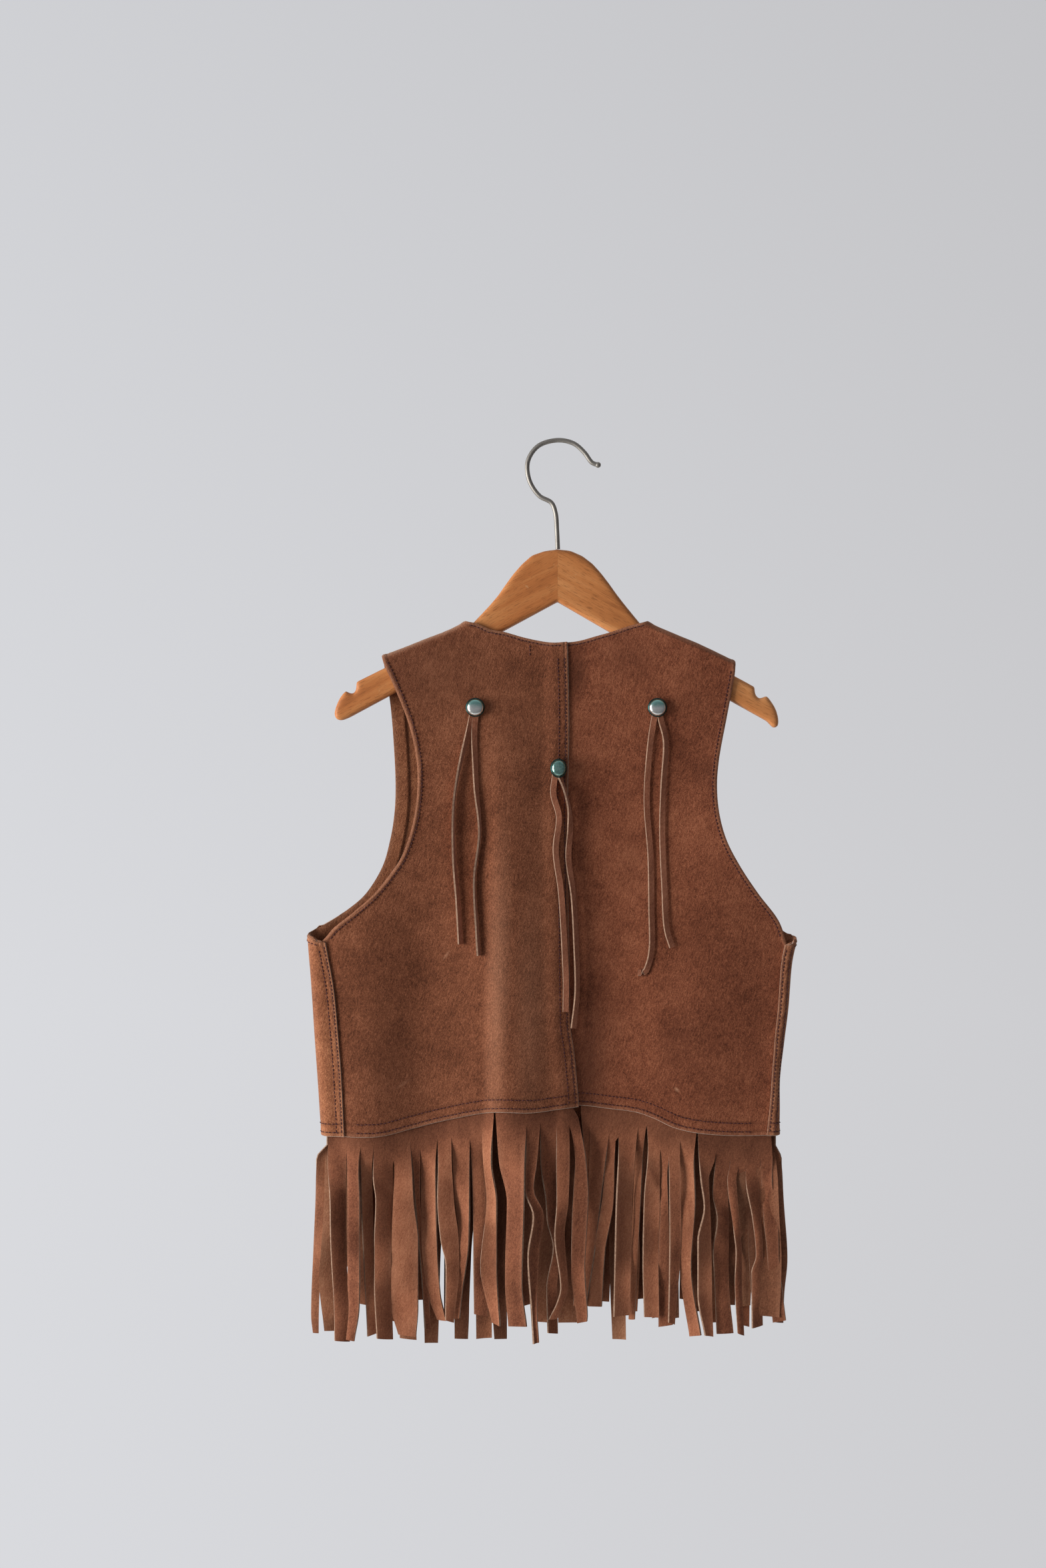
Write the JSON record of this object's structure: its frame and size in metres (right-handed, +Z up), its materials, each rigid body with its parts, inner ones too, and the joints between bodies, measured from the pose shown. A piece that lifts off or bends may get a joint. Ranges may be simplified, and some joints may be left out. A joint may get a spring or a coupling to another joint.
{
  "type": "fringed suede vest on a wooden hanger",
  "caption": "Fringed western suede vest, sleeveless, with studs and hanging thongs, held open by a wooden hanger with a steel hook.",
  "frame": {"origin": "underside of the top of the hook, where a rail or a nail bears", "axes": "+Z up, -Y out of the vest's back, +X to the right of one who looks at the back"},
  "size_m": [0.3868, 0.0342, 0.7141],
  "materials": {
    "suede_left": "matte",
    "suede_right": "matte",
    "suede_side": "matte",
    "suede_fringe": "matte",
    "suede_thong": "matte",
    "stud_metal": "polished",
    "hanger_wood": "satin",
    "hook_steel": "satin"
  },
  "bodies": {
    "root": {"back_left": "suede_left", "back_right": "suede_right", "front_left": "suede_side", "front_right": "suede_side", "fringe_back_left_outer": "suede_fringe", "fringe_back_left_inner": "suede_fringe", "fringe_back_right_inner": "suede_fringe", "fringe_back_right_outer": "suede_fringe", "fringe_front_left": "suede_fringe", "fringe_front_right": "suede_fringe", "thong_left": "suede_thong", "thong_right": "suede_thong", "thong_centre": "suede_thong", "stud_left": "stud_metal", "stud_right": "stud_metal", "stud_centre": "stud_metal", "hanger_left": "hanger_wood", "hanger_right": "hanger_wood", "hook": "hook_steel"}
  },
  "joints": []
}
